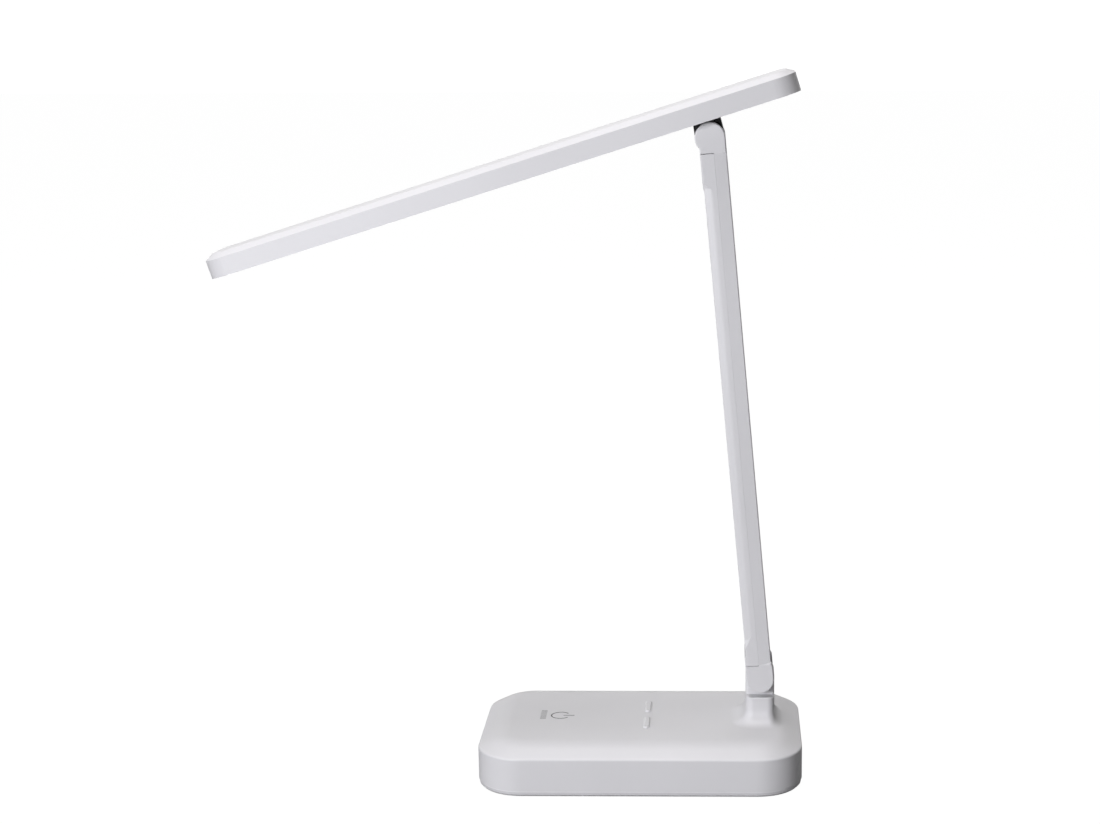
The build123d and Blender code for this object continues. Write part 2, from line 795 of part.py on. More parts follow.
with BuildPart() as head_housing:
    add(head_block())
    head_normal = Axis(light_face.origin, light_face.z_dir)
    fillet(head_housing.faces().sort_by(head_normal)[-1].edges(), head_edge)
    add(head_block(head_skin), mode=Mode.SUBTRACT)
    with BuildSketch(light_face):
        RectangleRounded(
            head_length - 2 * panel_inset, head_width - 2 * panel_inset, head_corner - panel_inset
        )
    extrude(amount=panel_thickness, mode=Mode.SUBTRACT)
    # Bosses hang from the top and take the lug's screws.
    with BuildSketch(light_face.offset(boss_level)):
        with Locations(*lug_screw_places):
            Circle(boss_radius)
    extrude(amount=head_height - head_skin - boss_level)
    with BuildSketch(light_face.offset(boss_level)):
        with Locations(*lug_screw_places):
            Circle(screw_radius)
    extrude(amount=head_height - head_skin - boss_level, mode=Mode.SUBTRACT)
head_housing.part.label = "head_housing"
export_step(head_housing.part, "parts/head_housing.step")


def underside_panel(start, end):
    """Flat panel in the head's underside between two stations along the head."""
    inset = panel_inset + panel_gap
    with BuildPart() as panel:
        with BuildSketch(light_face):
            RectangleRounded(
                head_length - 2 * inset, head_width - 2 * inset, head_corner - inset
            )
            with Locations((start, 0)):
                Rectangle(
                    end - start,
                    head_width,
                    align=(Align.MIN, Align.CENTER),
                    mode=Mode.INTERSECT,
                )
        extrude(amount=panel_thickness)
    return panel.part


with BuildPart() as diffuser:
    add(underside_panel(-head_length / 2, joint_x - panel_gap))
diffuser.part.label = "diffuser"
export_step(diffuser.part, "parts/diffuser.step")

with BuildPart() as end_cover:
    add(underside_panel(joint_x, head_length / 2))
    # Opening for the lug, and countersunk holes for its screws.
    with BuildSketch(light_face):
        with Locations((lug_middle - head_middle, 0)):
            Rectangle(lug_length + 2 * panel_gap, 2 * slot_half)
        with Locations(*lug_screw_places):
            Circle(screw_radius + fit_gap)
    extrude(amount=panel_thickness, mode=Mode.SUBTRACT)
    with BuildSketch(light_face):
        with Locations(*lug_screw_places):
            Circle(screw_head_radius + fit_gap)
    extrude(amount=screw_head_height, taper=degrees(atan2(1, 1)), mode=Mode.SUBTRACT)
end_cover.part.label = "end_cover"
export_step(end_cover.part, "parts/end_cover.step")

with BuildPart() as lug_screws:
    with BuildSketch(light_face):
        with Locations(*lug_screw_places):
            Circle(screw_head_radius)
    extrude(amount=screw_head_height, taper=degrees(atan2(1, 1)))
    with BuildSketch(light_face):
        with Locations(*lug_screw_places):
            Circle(screw_radius)
    extrude(amount=head_height - head_skin)
lug_screws.part.label = "lug_screws"
export_step(lug_screws.part, "parts/lug_screws.step")

# --- Light source in the head -----------------------------------------------------------------
strip_start = -head_length / 2 + head_skin + strip_end_gap
strip_end = joint_x - strip_end_gap
strip_middle = (strip_start + strip_end) / 2
strip_length = strip_end - strip_start
strip_face = light_face.offset(head_height - head_skin - strip_thickness)

with BuildPart() as led_board:
    with BuildSketch(strip_face):
        with Locations((strip_middle, 0)):
            Rectangle(strip_length, strip_width)
    extrude(amount=strip_thickness)
led_board.part.label = "led_board"
export_step(led_board.part, "parts/led_board.step")

with BuildPart() as led_chips:
    with BuildSketch(strip_face):
        with Locations((strip_middle, 0)):
            with GridLocations(strip_length / chip_count, 0, chip_count, 1):
                Rectangle(chip_length, chip_width)
    extrude(amount=-chip_height)
led_chips.part.label = "led_chips"
export_step(led_chips.part, "parts/led_chips.step")

# White trough that spreads the chips' light over the diffuser.
tray_section = Plane(
    origin=light_face.from_local_coords(Vector(strip_start, 0, 0)),
    x_dir=(0, 1, 0),
    z_dir=light_face.x_dir,
)
tray_low = panel_thickness + tray_gap
tray_high = head_height - head_skin - strip_thickness - tray_gap
tray_wide = head_width / 2 - head_skin - tray_gap - tray_thickness
tray_narrow = strip_width / 2

with BuildPart() as reflector_tray:
    with BuildSketch(tray_section) as tray_profile:
        with BuildLine():
            Polyline(
                (tray_wide, tray_low),
                (tray_wide - tray_foot, tray_low),
                (tray_narrow, tray_high - tray_thickness),
                (chip_width, tray_high - tray_thickness),
                (chip_width, tray_high),
                (tray_narrow + tray_thickness, tray_high),
                close=True,
            )
        make_face()
        mirror(about=Plane.YZ)
    extrude(amount=strip_length)
    # End bars tie the two sides together.
    with BuildSketch(light_face.offset(tray_high - tray_thickness)):
        with Locations((strip_start, 0), (strip_end - tray_thickness, 0)):
            Rectangle(tray_thickness, strip_width, align=(Align.MIN, Align.CENTER))
    extrude(amount=tray_thickness)
reflector_tray.part.label = "reflector_tray"
export_step(reflector_tray.part, "parts/reflector_tray.step")
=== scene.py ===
import json

import bmesh
import bpy
import numpy as np
from mathutils import Matrix, Vector


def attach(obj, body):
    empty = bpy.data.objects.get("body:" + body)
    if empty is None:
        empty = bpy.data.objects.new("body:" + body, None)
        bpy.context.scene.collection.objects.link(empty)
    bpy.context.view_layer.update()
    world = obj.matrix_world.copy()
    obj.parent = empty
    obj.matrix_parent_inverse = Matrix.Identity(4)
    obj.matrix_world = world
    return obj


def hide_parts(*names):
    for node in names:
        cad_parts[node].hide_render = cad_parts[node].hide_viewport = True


# Looks of the folding desk lamp: satin white mouldings, a dark hinge lug, an opal
# light panel and a printed power mark. Metres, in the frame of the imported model.
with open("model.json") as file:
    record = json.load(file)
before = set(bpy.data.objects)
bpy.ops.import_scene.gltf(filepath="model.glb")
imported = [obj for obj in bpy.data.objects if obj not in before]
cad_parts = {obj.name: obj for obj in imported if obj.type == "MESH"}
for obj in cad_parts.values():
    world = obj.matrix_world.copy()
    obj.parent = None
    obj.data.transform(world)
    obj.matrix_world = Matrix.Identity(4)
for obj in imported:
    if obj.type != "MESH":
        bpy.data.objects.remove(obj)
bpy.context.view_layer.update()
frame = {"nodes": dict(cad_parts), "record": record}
nodes = frame["nodes"]
scene = bpy.context.scene

MM = 0.001

# --- Sizes of the surface details, in millimetres ---------------------------------
PLATEAU = 20.5  # height of the base's flat top
INK = 0.03  # height of the printed marks above the plateau, and depth below it
MARK_PLACE = (-33.5, -0.6)  # centre of the power mark's ring
MARK_RADIUS = 3.75
MARK_STROKE = 0.5
MARK_GAP = 37.0  # degrees left open each side of the mark's bar
MARK_BAR = (1.2, 5.7)  # start and end of the bar, from the ring's centre
RING_POINTS = 49  # along the mark's ring
STROKE_POINTS = 3  # along each straight stroke
TICK_X = (-41.7, -39.3)  # ends of the level ticks beside the mark
TICK_Y = (-4.4, 5.0)  # first and last tick
TICK_COUNT = 8
TICK_WIDTH = 0.5
SIDES = 64  # points around each screw
FACE_RINGS = 18  # from the middle of its face to the face's edge
SHANK_RINGS = 72  # along its shank
SCREW_HEAD = 2.4  # radius of the screws' heads
SCREW_CORE = 1.05  # radius of the shank between the thread's turns
THREAD_HEIGHT = 0.25
THREAD_PITCH = 1.0
CROSS_WIDTH = 0.55  # recess in the screws' heads
CROSS_LENGTH = 2.9
CROSS_DEPTH = 0.75
CROSS_FLANK = (0.06, 0.12)  # the recess's side slopes from this far inside to this far outside
CROSS_END = 0.3  # length of the slope at each end of the cross
CROSS_RISE = 0.35  # share of the recess's depth lost from the middle to the face's edge
BASE_OUTLINE = [  # radius and height of the rings round the head
    (2.0, 0.08), (2.25, 0.16), (SCREW_HEAD, 0.36), (SCREW_HEAD, 1.0), (SCREW_CORE, 1.0)
]
BASE_LENGTH = 10.0
LUG_OUTLINE = [
    (SCREW_HEAD - 0.05, 0.03), (SCREW_HEAD, 0.08), (SCREW_CORE + 0.3, 1.0), (SCREW_CORE, 1.1)
]
LUG_LENGTH = 7.5
SHARP_ANGLE = 40.0  # degrees between faces from which a screw's edge stays sharp
BASE_SCREWS = [(x, y, 0.7) for x in (-50.0, 50.0) for y in (-27.0, 27.0)]
HEAD_TILT = 17.45  # degrees
HEAD_AXIS = (28.390, 0.0, 257.184)  # the hinge that carries the head
LUG_SCREWS = (-10.05, 11.30)  # along the head from its hinge
LIGHT_FACE = 6.6  # from that hinge up to the head's underside

# --- Looks: metres, and waves to the metre --------------------------------------------
COVER_EDGE = 0.0027  # top of the bottom cover's outer edge
COVER_HIGHLIGHT_REACH = 5e-4  # how far down from that edge a painted highlight lightens the plastic
COVER_PAINTED_SHADE = 0.9  # of the housings' white, darkened as painted shade on the cover's lip
# lightening of the painted highlight along the cover's top edge
HIGHLIGHT_TINT = 1.22
MOULD_GRAIN, MOULD_RIPPLE = 2600.0, 14.0
MOULD_DEPTH = 4e-6
MOULD_GLOSS = 0.42
RIPPLE_SHARE = 2.0  # of the fine grain's height
CLOUD_EDGE = (0.3, 0.7)  # start and end of a mask in its noise
CLOUD_TONE = 0.025
HANDLED_WAVES, HANDLED_EDGE = 55.0, (0.52, 0.72)
HANDLED_GLOSS = -0.07  # added to the roughness
SPECK_CELLS, SPECK_EDGE = 700.0, (0.03, 0.09)
PATCH_WAVES, PATCH_EDGE = 160.0, (0.62, 0.7)
SPECK_GLOSS = 0.25
BRUSH_LINES, BRUSH_EDGE = 6000.0, (0.35, 0.65)
BRUSH_STRETCH = (0.03, 1.0, 1.0)
BRUSH_DEPTH = 3e-6
BRUSH_DARK = 0.92
BRUSH_GLOSS = (-0.06, 0.08)
PEBBLE_CELLS, PEBBLE_DEPTH = 1300.0, 4e-5
LENS_CELLS, LENS_DEPTH = 900.0, 1.2e-5
TRACK_SCALE, TRACK_WIDTH, TRACK_DEPTH = 260.0, 0.03, 2e-5
TRACK_FLAT = 0.15  # shade of every second pad
PRINT_WAVES, PRINT_DEPTH = 2400.0, 2e-6
PRINT_TONE = 0.2

# --- Studio: metres, watts and radians --------------------------------------------------
LIT_POINT = (-0.03, 0.0, 0.13)  # the lamp's middle
KEY_PLACE, KEY_SIZE, KEY_POWER = (-0.574, -1.033, 0.375), (0.4, 0.4), 10.8
KEY_COLOUR = (0.965, 0.965, 1.0)
TOP_PLACE, TOP_SIZE, TOP_POWER = (-0.12, -0.05, 1.82), (0.8, 0.8), 20.5
TOP_COLOUR = (1.0, 0.98, 0.98)
FLOOR_REACH = 6.0
FLOOR_BURNT = 0.85  # share of the floor that the camera sees as plain white
FLOOR_GLOW = 1.16
PAPER_FIBRES = 900.0
PAPER_DARK, PAPER_LIGHT = (0.29, 0.29, 0.29), (0.31, 0.31, 0.31)
SURROUND_SEEN = 1.1
SWEEP_BRIGHT, SWEEP_FAINT = 0.9, 0.01  # behind the lamp, and all round it
SWEEP_EDGE = (0.4, 0.9)  # of a direction's Y, where the sweep starts and is full
CAMERA_PITCH, CAMERA_TURN, CAMERA_ROLL = 0.197976, -0.0213820, -0.0045292
CAMERA_PLACE = (0.03372, -0.81953, 0.31213)
CAMERA_SENSOR, CAMERA_LENS = 36.0, 68.50  # millimetres
CAMERA_SHIFT = -0.1182
CAMERA_CLIP = (0.01, 50.0)


# --- Nodes and materials ----------------------------------------------------------
def new_group(name, inputs, outputs):
    """Empty shader group with named value inputs (name, start value) and outputs."""
    group = bpy.data.node_groups.new(name, "ShaderNodeTree")
    new_socket = group.interface.new_socket
    new_socket("Vector", in_out="INPUT", socket_type="NodeSocketVector")
    for label, value in inputs:
        socket = new_socket(label, in_out="INPUT", socket_type="NodeSocketFloat")
        socket.default_value = value
    for label in outputs:
        new_socket(label, in_out="OUTPUT", socket_type="NodeSocketFloat")
    return group, group.nodes.new("NodeGroupInput"), group.nodes.new("NodeGroupOutput")


def noise(tree, vector, scale, detail=2.0, roughness=0.5):
    """Noise texture on the given coordinates; scale is in waves to the metre."""
    node = tree.nodes.new("ShaderNodeTexNoise")
    node.inputs["Scale"].default_value = scale
    node.inputs["Detail"].default_value = detail
    node.inputs["Roughness"].default_value = roughness
    tree.links.new(vector, node.inputs["Vector"])
    return node.outputs["Fac"]


def spread(tree, value, low, high, start, end):
    """Maps value from start..end onto low..high, held at both ends."""
    node = tree.nodes.new("ShaderNodeMapRange")
    for label, number in (
        ("From Min", start), ("From Max", end), ("To Min", low), ("To Max", high)
    ):
        node.inputs[label].default_value = number
    tree.links.new(value, node.inputs["Value"])
    return node.outputs["Result"]


def combine(tree, operation, first, second):
    """Math node on two sockets, or on a socket and a number."""
    node = tree.nodes.new("ShaderNodeMath")
    node.operation = operation
    for slot, value in zip(node.inputs, (first, second)):
        if isinstance(value, (int, float)):
            slot.default_value = value
        else:
            tree.links.new(value, slot)
    return node.outputs["Value"]


def moulded_grain_group():
    """Eroded mould texture: fine pits over a slow ripple, with a mask of handled spots."""
    group, start, end = new_group(
        "moulded_grain",
        [("Grain", MOULD_GRAIN), ("Ripple", MOULD_RIPPLE)],
        ["Height", "Cloud", "Handled"],
    )
    vector = start.outputs["Vector"]
    fine = noise(group, vector, 1.0, 3.0, 0.6)
    group.links.new(start.outputs["Grain"], fine.node.inputs["Scale"])
    slow = noise(group, vector, 1.0, 2.0)
    group.links.new(start.outputs["Ripple"], slow.node.inputs["Scale"])
    height = combine(group, "ADD", fine, combine(group, "MULTIPLY", slow, RIPPLE_SHARE))
    group.links.new(height, end.inputs["Height"])
    group.links.new(spread(group, slow, 0.0, 1.0, *CLOUD_EDGE), end.inputs["Cloud"])
    spots = noise(group, vector, HANDLED_WAVES, 4.0, 0.65)
    group.links.new(spread(group, spots, 0.0, 1.0, *HANDLED_EDGE), end.inputs["Handled"])
    return group


def dust_group():
    """Sparse specks, a mask that is one on a speck and zero elsewhere."""
    group, start, end = new_group("dust_specks", [("Density", SPECK_CELLS)], ["Speck"])
    cells = group.nodes.new("ShaderNodeTexVoronoi")
    group.links.new(start.outputs["Vector"], cells.inputs["Vector"])
    group.links.new(start.outputs["Density"], cells.inputs["Scale"])
    near = spread(group, cells.outputs["Distance"], 1.0, 0.0, *SPECK_EDGE)
    chance = noise(group, start.outputs["Vector"], PATCH_WAVES, 1.0)
    rare = spread(group, chance, 0.0, 1.0, *PATCH_EDGE)
    group.links.new(combine(group, "MULTIPLY", near, rare), end.inputs["Speck"])
    return group


def brushed_group():
    """Fine parallel scratches: noise stretched along the object's X axis."""
    group, start, end = new_group(
        "brushed_lines", [("Fineness", BRUSH_LINES)], ["Height", "Line"]
    )
    squeeze = group.nodes.new("ShaderNodeMapping")
    squeeze.inputs["Scale"].default_value = BRUSH_STRETCH
    group.links.new(start.outputs["Vector"], squeeze.inputs["Vector"])
    lines = noise(group, squeeze.outputs["Vector"], 1.0, 2.0, 0.7)
    group.links.new(start.outputs["Fineness"], lines.node.inputs["Scale"])
    group.links.new(lines, end.inputs["Height"])
    group.links.new(spread(group, lines, 0.0, 1.0, *BRUSH_EDGE), end.inputs["Line"])
    return group


GRAIN = moulded_grain_group()
DUST = dust_group()
BRUSHED = brushed_group()


def new_finish(name):
    """Material with a Principled shader, with its tree, that shader and coordinates."""
    finish = bpy.data.materials.new(name)
    finish.use_nodes = True
    tree = finish.node_tree
    shader = tree.nodes["Principled BSDF"]
    place = tree.nodes.new("ShaderNodeTexCoord").outputs["Object"]
    return finish, tree, shader, place


def use_group(tree, group, place, **values):
    """Group node fed with the coordinates and its own values."""
    node = tree.nodes.new("ShaderNodeGroup")
    node.node_tree = group
    tree.links.new(place, node.inputs["Vector"])
    for label, value in values.items():
        node.inputs[label].default_value = value
    return node


def two_tone(tree, shader, mask, dark, light):
    """Base colour that runs from dark to light with the mask."""
    mix = tree.nodes.new("ShaderNodeMix")
    mix.data_type = "RGBA"
    mix.inputs["A"].default_value = (*dark, 1.0)
    mix.inputs["B"].default_value = (*light, 1.0)
    tree.links.new(mask, mix.inputs["Factor"])
    tree.links.new(mix.outputs["Result"], shader.inputs["Base Color"])


def dent(tree, shader, height, distance):
    """Bump from a height socket; distance is the depth in metres."""
    bump = tree.nodes.new("ShaderNodeBump")
    bump.inputs["Distance"].default_value = distance
    tree.links.new(height, bump.inputs["Height"])
    tree.links.new(bump.outputs["Normal"], shader.inputs["Normal"])


def tint(colour, factor):
    """Colour made lighter or darker by a factor."""
    return tuple(channel * factor for channel in colour)


def moulded_plastic(
    name, colour, roughness, grain=MOULD_GRAIN, depth=MOULD_DEPTH, variation=CLOUD_TONE
):
    """Satin injection moulding: eroded grain, slow tone clouds and handled patches."""
    finish, tree, shader, place = new_finish(name)
    skin = use_group(tree, GRAIN, place, Grain=grain)
    specks = use_group(tree, DUST, place)
    dark, light = tint(colour, 1 - variation), tint(colour, 1 + variation)
    two_tone(tree, shader, skin.outputs["Cloud"], dark, light)
    worn = combine(tree, "MULTIPLY", skin.outputs["Handled"], HANDLED_GLOSS)
    dusty = combine(tree, "MULTIPLY", specks.outputs["Speck"], SPECK_GLOSS)
    gloss = combine(tree, "ADD", combine(tree, "ADD", worn, dusty), roughness)
    tree.links.new(gloss, shader.inputs["Roughness"])
    shader.inputs["Specular IOR Level"].default_value = 0.45
    dent(tree, shader, skin.outputs["Height"], depth)
    return finish


def highlighted_plastic(name, colour, edge, reach):
    """Satin moulding with a painted highlight: lighter over a reach below its upper edge, at a
    height in metres, as if that edge caught the light."""
    finish = moulded_plastic(name, colour, MOULD_GLOSS)
    tree = finish.node_tree
    shader = tree.nodes["Principled BSDF"]
    face = shader.inputs["Base Color"].links[0].from_socket
    split = tree.nodes.new("ShaderNodeSeparateXYZ")
    place = tree.nodes.new("ShaderNodeTexCoord").outputs["Object"]
    tree.links.new(place, split.inputs["Vector"])
    # painted highlight: a band just below the top edge, lighter as if catching light from
    # above
    painted_highlight = spread(tree, split.outputs["Z"], 0.0, 1.0, edge - reach, edge - reach / 2)
    mix = tree.nodes.new("ShaderNodeMix")
    mix.data_type = "RGBA"
    tree.links.new(painted_highlight, mix.inputs["Factor"])
    tree.links.new(face, mix.inputs["A"])
    mix.inputs["B"].default_value = (*tint(colour, HIGHLIGHT_TINT), 1.0)
    tree.links.new(mix.outputs["Result"], shader.inputs["Base Color"])
    return finish


def bare_metal(name, colour, roughness, fineness=BRUSH_LINES):
    """Metal with fine parallel lines and a slight tone change between them."""
    finish, tree, shader, place = new_finish(name)
    lines = use_group(tree, BRUSHED, place, Fineness=fineness)
    two_tone(tree, shader, lines.outputs["Line"], tint(colour, BRUSH_DARK), colour)
    shader.inputs["Metallic"].default_value = 1.0
    smooth, rough = (roughness + step for step in BRUSH_GLOSS)
    gloss = spread(tree, lines.outputs["Line"], smooth, rough, 0.0, 1.0)
    tree.links.new(gloss, shader.inputs["Roughness"])
    dent(tree, shader, lines.outputs["Height"], BRUSH_DEPTH)
    return finish


def soft_rubber(name, colour):
    """Matt rubber with a pebbled skin."""
    finish, tree, shader, place = new_finish(name)
    cells = tree.nodes.new("ShaderNodeTexVoronoi")
    cells.inputs["Scale"].default_value = PEBBLE_CELLS
    tree.links.new(place, cells.inputs["Vector"])
    specks = use_group(tree, DUST, place, Density=420.0)
    two_tone(tree, shader, specks.outputs["Speck"], colour, tint(colour, 2.4))
    shader.inputs["Roughness"].default_value = 0.82
    shader.inputs["Sheen Weight"].default_value = 0.15
    dent(tree, shader, cells.outputs["Distance"], PEBBLE_DEPTH)
    return finish


def opal_panel(name, colour):
    """Opal light panel: smooth face over a fine field of round lens dots."""
    finish, tree, shader, place = new_finish(name)
    cells = tree.nodes.new("ShaderNodeTexVoronoi")
    cells.inputs["Scale"].default_value = LENS_CELLS
    cells.inputs["Randomness"].default_value = 0.0
    tree.links.new(place, cells.inputs["Vector"])
    two_tone(tree, shader, cells.outputs["Distance"], colour, tint(colour, 0.97))
    shader.inputs["Roughness"].default_value = 0.34
    shader.inputs["Coat Weight"].default_value = 0.2
    dent(tree, shader, cells.outputs["Distance"], LENS_DEPTH)
    return finish


def circuit_board(name, colour, track):
    """Solder mask with a net of raised copper tracks under it."""
    finish, tree, shader, place = new_finish(name)
    bricks = tree.nodes.new("ShaderNodeTexBrick")
    bricks.inputs["Scale"].default_value = TRACK_SCALE
    bricks.inputs["Mortar Size"].default_value = TRACK_WIDTH
    for label, shade in (("Color1", 0.0), ("Color2", TRACK_FLAT), ("Mortar", 1.0)):
        bricks.inputs[label].default_value = (shade, shade, shade, 1.0)
    tree.links.new(place, bricks.inputs["Vector"])
    two_tone(tree, shader, bricks.outputs["Color"], colour, track)
    shader.inputs["Roughness"].default_value = 0.3
    shader.inputs["Coat Weight"].default_value = 0.4
    dent(tree, shader, bricks.outputs["Color"], TRACK_DEPTH)
    return finish


def printed_ink(name, colour):
    """Pad-printed ink, slightly patchy and a little glossier than the moulding."""
    finish, tree, shader, place = new_finish(name)
    patches = noise(tree, place, PRINT_WAVES, 3.0)
    two_tone(tree, shader, patches, tint(colour, 1 - PRINT_TONE), tint(colour, 1 + PRINT_TONE))
    shader.inputs["Roughness"].default_value = 0.42
    dent(tree, shader, patches, PRINT_DEPTH)
    return finish


WHITE = (0.76, 0.757, 0.772)
finishes = {
    "white_abs": moulded_plastic("white_satin_abs", WHITE, MOULD_GLOSS),
    "dark_grey_abs": moulded_plastic("dark_grey_abs", (0.024, 0.0235, 0.026), 0.45),
    "acetal": moulded_plastic("natural_acetal", (0.62, 0.60, 0.54), 0.35),
    "black_component": moulded_plastic("black_component", (0.012, 0.012, 0.014), 0.5),
    "cell_wrap": moulded_plastic("cell_pouch", (0.30, 0.31, 0.33), 0.3, 900.0, 2e-5, 0.08),
    "wire_red": moulded_plastic("wire_insulation", (0.42, 0.02, 0.015), 0.32),
    "phosphor": moulded_plastic("phosphor_resin", (0.80, 0.58, 0.14), 0.2, 4000.0),
    "pad_rubber": soft_rubber("pad_rubber", (0.028, 0.028, 0.03)),
    "opal": opal_panel("opal_light_panel", (0.80, 0.80, 0.785)),
    "steel": bare_metal("zinc_plated_steel", (0.52, 0.53, 0.55), 0.34),
    "dark_steel": bare_metal("black_oxide_steel", (0.05, 0.05, 0.055), 0.38),
    "brass": bare_metal("turned_brass", (0.68, 0.48, 0.20), 0.28),
    "copper": bare_metal("copper_foil", (0.72, 0.34, 0.18), 0.3, 3000.0),
    "led_substrate": circuit_board(
        "white_solder_mask", (0.78, 0.78, 0.77), (0.70, 0.69, 0.66)
    ),
    "board_green": circuit_board(
        "green_solder_mask", (0.012, 0.10, 0.035), (0.03, 0.17, 0.06)
    ),
}
# bottom cover: the housings' white darkened as painted shade on its lip, with a painted
# highlight along its top edge
cover_finish = highlighted_plastic(
    "cover_abs_painted_light", tint(WHITE, COVER_PAINTED_SHADE), COVER_EDGE, COVER_HIGHLIGHT_REACH
)
ink = printed_ink("grey_print", (0.05, 0.05, 0.055))
faint_ink = printed_ink("pale_grey_print", (0.24, 0.24, 0.245))

for part in frame["record"]["subparts"]:
    mesh = nodes[part["node"]].data
    mesh.materials.clear()
    # the bottom cover takes the finish with painted shade and a painted highlight
    if part["node"] == "base_cover":
        mesh.materials.append(cover_finish)
    else:
        mesh.materials.append(finishes[part["material_slot"]])


# --- Printed marks on the plateau ---------------------------------------------------
def add_piece(name, points, faces, finish, slot, body):
    """Mesh piece from points in millimetres, with its finish and body; the slot is not used.
    """
    mesh = bpy.data.meshes.new(name)
    mesh.from_pydata((np.asarray(points) * MM).tolist(), [], [list(f) for f in faces])
    mesh.validate()
    form = bmesh.new()
    form.from_mesh(mesh)
    bmesh.ops.recalc_face_normals(form, faces=form.faces)
    form.to_mesh(mesh)
    form.free()
    mesh.materials.append(finish)
    piece = bpy.data.objects.new(name, mesh)
    scene.collection.objects.link(piece)
    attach(piece, body)
    return piece


def ink_strip(line, width):
    """Flat printed stroke: a rectangle of the ink's thickness carried along a line of
    points, closed at both ends. Each ring is the line's point plus and minus half the
    width square to the line's direction."""
    line = np.asarray(line, float)
    along = np.gradient(line, axis=0)
    along /= np.linalg.norm(along, axis=1, keepdims=True)
    across = np.stack([-along[:, 1], along[:, 0]], 1) * width / 2
    left, right = line + across, line - across
    low, high = np.full(len(line), PLATEAU - INK), np.full(len(line), PLATEAU + INK)
    ring = np.stack([
        np.column_stack([left, low]), np.column_stack([right, low]),
        np.column_stack([right, high]), np.column_stack([left, high]),
    ], 1)
    count = len(line)
    index = np.arange(count * 4).reshape(count, 4)
    a, b = index[:-1], index[1:]
    sides = np.stack([a, np.roll(a, -1, 1), np.roll(b, -1, 1), b], 2).reshape(-1, 4)
    ends = np.array([index[0][::-1], index[-1]])
    return ring.reshape(-1, 3), np.vstack([sides, ends])


def join_strips(strips):
    """One point list and face list from several strips."""
    points, faces, shift = [], [], 0
    for strip_points, strip_faces in strips:
        points.append(strip_points)
        faces.append(strip_faces + shift)
        shift += len(strip_points)
    return np.vstack(points), np.vstack(faces)


turn = np.radians(np.linspace(MARK_GAP, 360.0 - MARK_GAP, RING_POINTS))
ring_line = np.column_stack([
    MARK_PLACE[0] + MARK_RADIUS * np.cos(turn), MARK_PLACE[1] + MARK_RADIUS * np.sin(turn)
])
bar_line = [
    (MARK_PLACE[0] + x, MARK_PLACE[1]) for x in np.linspace(*MARK_BAR, STROKE_POINTS)
]
add_piece(
    "power_mark",
    *join_strips([ink_strip(ring_line, MARK_STROKE), ink_strip(bar_line, MARK_STROKE)]),
    ink, "black_component", "base",
)

ticks = [
    ink_strip([(x, y) for x in np.linspace(*TICK_X, STROKE_POINTS)], TICK_WIDTH)
    for y in np.linspace(*TICK_Y, TICK_COUNT)
]
add_piece("level_ticks", *join_strips(ticks), faint_ink, "black_component", "base")


# --- Screws with cross recesses and threads --------------------------------------------
def smooth_step(value, start, end):
    """Rises from 0 at start to 1 at end, flat at both ends."""
    part = np.clip((value - start) / (end - start), 0.0, 1.0)
    return part * part * (3 - 2 * part)


def cross_screw(outline, length):
    """Screw in its own frame, face at height 0, shank rising to length. Every ring has
    a radius and a height for each angle. On the face the height is a shallow square of
    the radius, plus the recess's depth inside a cross, which is the larger of two bars
    at right angles. The outline's rings are plain circles. On the shank the radius is
    the core plus a triangle wave of the height in pitches minus the angle in turns,
    faded out at both ends."""
    turns = np.arange(SIDES) / SIDES
    angle = 2 * np.pi * turns
    flat = np.linspace(0.0, outline[0][0], FACE_RINGS)[1:, None]
    x, y = flat * np.cos(angle), flat * np.sin(angle)
    half_width, half_length = CROSS_WIDTH / 2, CROSS_LENGTH / 2
    flank = (half_width - CROSS_FLANK[0], half_width + CROSS_FLANK[1])
    bars = [
        (1 - smooth_step(np.abs(side), *flank))
        * (1 - smooth_step(np.abs(along), half_length - CROSS_END, half_length))
        for side, along in ((x, y), (y, x))
    ]
    dip = CROSS_DEPTH * np.maximum(*bars) * (1 - CROSS_RISE * flat / outline[0][0])
    crown = outline[0][1] * (flat / outline[0][0]) ** 2
    radius = [np.broadcast_to(flat, dip.shape)]
    height = [dip + crown]
    for ring_radius, ring_height in outline[1:]:
        radius.append(np.full((1, SIDES), ring_radius))
        height.append(np.full((1, SIDES), ring_height))
    rise = np.linspace(outline[-1][1], length, SHANK_RINGS)[:, None]
    wave = 1 - 2 * np.abs((rise / THREAD_PITCH - turns) % 1.0 - 0.5)
    fade = smooth_step(rise, outline[-1][1], outline[-1][1] + THREAD_PITCH)
    fade = fade * (1 - smooth_step(rise, length - THREAD_PITCH, length))
    radius.append(SCREW_CORE + THREAD_HEIGHT * wave * fade)
    height.append(np.broadcast_to(rise, wave.shape))
    radius, height = np.vstack(radius), np.vstack(height)
    grid = np.stack([radius * np.cos(angle), radius * np.sin(angle), height], 2)
    points = np.vstack([grid.reshape(-1, 3), [(0, 0, CROSS_DEPTH), (0, 0, length)]])
    rings = len(grid)
    index = np.arange(rings * SIDES).reshape(rings, SIDES)
    a, b = index[:-1], index[1:]
    quads = np.stack([a, np.roll(a, -1, 1), np.roll(b, -1, 1), b], 2).reshape(-1, 4)
    faces = quads.tolist()
    for ring, pole in ((index[0], rings * SIDES), (index[-1], rings * SIDES + 1)):
        faces += np.column_stack([ring, np.roll(ring, -1), np.full(SIDES, pole)]).tolist()
    return points, faces


def set_of_screws(name, outline, length, places, axes, node, slot, body):
    """Several equal screws as one piece, each at its place with the same three axes."""
    points, faces = cross_screw(outline, length)
    all_points = [points @ np.asarray(axes) + place for place in places]
    all_faces = [
        [corner + copy * len(points) for corner in face]
        for copy in range(len(places))
        for face in faces
    ]
    piece = add_piece(name, np.vstack(all_points), all_faces, finishes[slot], slot, body)
    piece.data.shade_smooth()
    piece.data.set_sharp_from_angle(angle=np.radians(SHARP_ANGLE))
    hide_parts(node)


